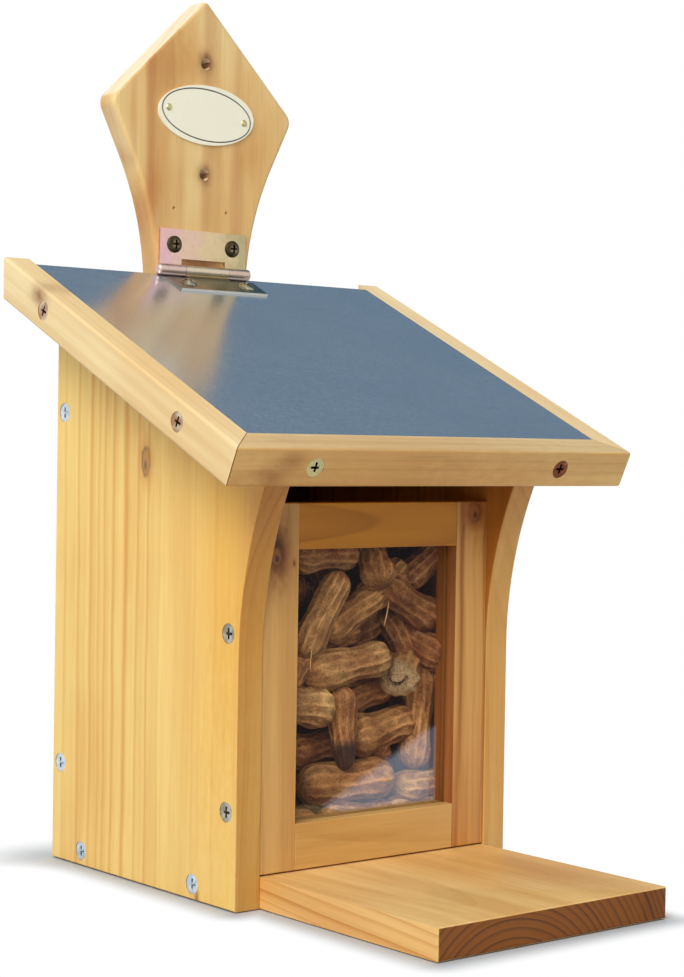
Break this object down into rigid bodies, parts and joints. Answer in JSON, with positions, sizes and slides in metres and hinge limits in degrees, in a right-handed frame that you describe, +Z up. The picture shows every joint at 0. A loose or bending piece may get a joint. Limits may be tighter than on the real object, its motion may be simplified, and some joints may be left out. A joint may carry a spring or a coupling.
{
  "type": "squirrel feeder box",
  "caption": "Hung wooden feeder box with a framed window, landing board, hinged sloping lid clad with sheet metal, and a diamond-headed hanger with two holes; filled with nuts in their shells.",
  "frame": {"origin": "on the underside of the floor board, midway between the side panels and midway along their depth", "axes": "+Z up, +Y towards the wall or tree, -Y the front with the window, +X to the right as seen from the front"},
  "size_m": [0.202, 0.234, 0.3713],
  "materials": {
    "glazed_panel_wood": "clear-glazed yellow softwood",
    "glazed_hanger_wood": "clear-glazed tan softwood",
    "glazed_frame_wood": "clear-glazed brown softwood",
    "glazed_trim_wood": "clear-glazed pale softwood",
    "clear_pane": "clear, glossy",
    "roof_metal": "smooth satin sheet",
    "yellow_zinc": "yellow-passivated zinc plate",
    "bright_zinc": "bright zinc plate",
    "dark_bronze": "dark oxidised plate",
    "nail_brass": "polished brass",
    "cream_enamel": "satin cream enamel, bare",
    "nut_shell": "dry ridged nut shell"
  },
  "bodies": {
    "box": {"side_panel_left": "glazed_panel_wood", "side_panel_right": "glazed_panel_wood", "floor_board": "glazed_panel_wood", "back_board": "glazed_hanger_wood", "frame_stile_left": "glazed_frame_wood", "frame_stile_right": "glazed_frame_wood", "frame_rail_top": "glazed_frame_wood", "frame_rail_bottom": "glazed_frame_wood", "window_pane": "clear_pane", "frame_staples": "bright_zinc", "hinge_leaf_upper": "yellow_zinc", "hinge_pin": "yellow_zinc", "hinge_screws_upper": "dark_bronze", "oval_plate": "cream_enamel", "plate_nails": "nail_brass", "back_screws_left": "bright_zinc", "back_screws_right": "bright_zinc", "frame_screws_left": "bright_zinc", "frame_screws_right": "bright_zinc", "floor_screws_left": "bright_zinc", "floor_screws_right": "bright_zinc", "nuts": "nut_shell"},
    "lid": {"roof_board": "glazed_panel_wood", "roof_sheet": "roof_metal", "roof_trim_left": "glazed_trim_wood", "roof_trim_right": "glazed_trim_wood", "roof_trim_front": "glazed_trim_wood", "trim_screws_left": "yellow_zinc", "trim_screws_right": "yellow_zinc", "trim_screws_front": "yellow_zinc", "hinge_leaf_lower": "yellow_zinc", "hinge_screws_lower": "dark_bronze"}
  },
  "joints": [
    {"name": "lid_hinge", "type": "hinge", "parent": "box", "child": "lid", "pos_m": [-0.0043, 0.0515, 0.2525], "axis": [-1, 0, 0], "range_deg": [0, 105]}
  ]
}
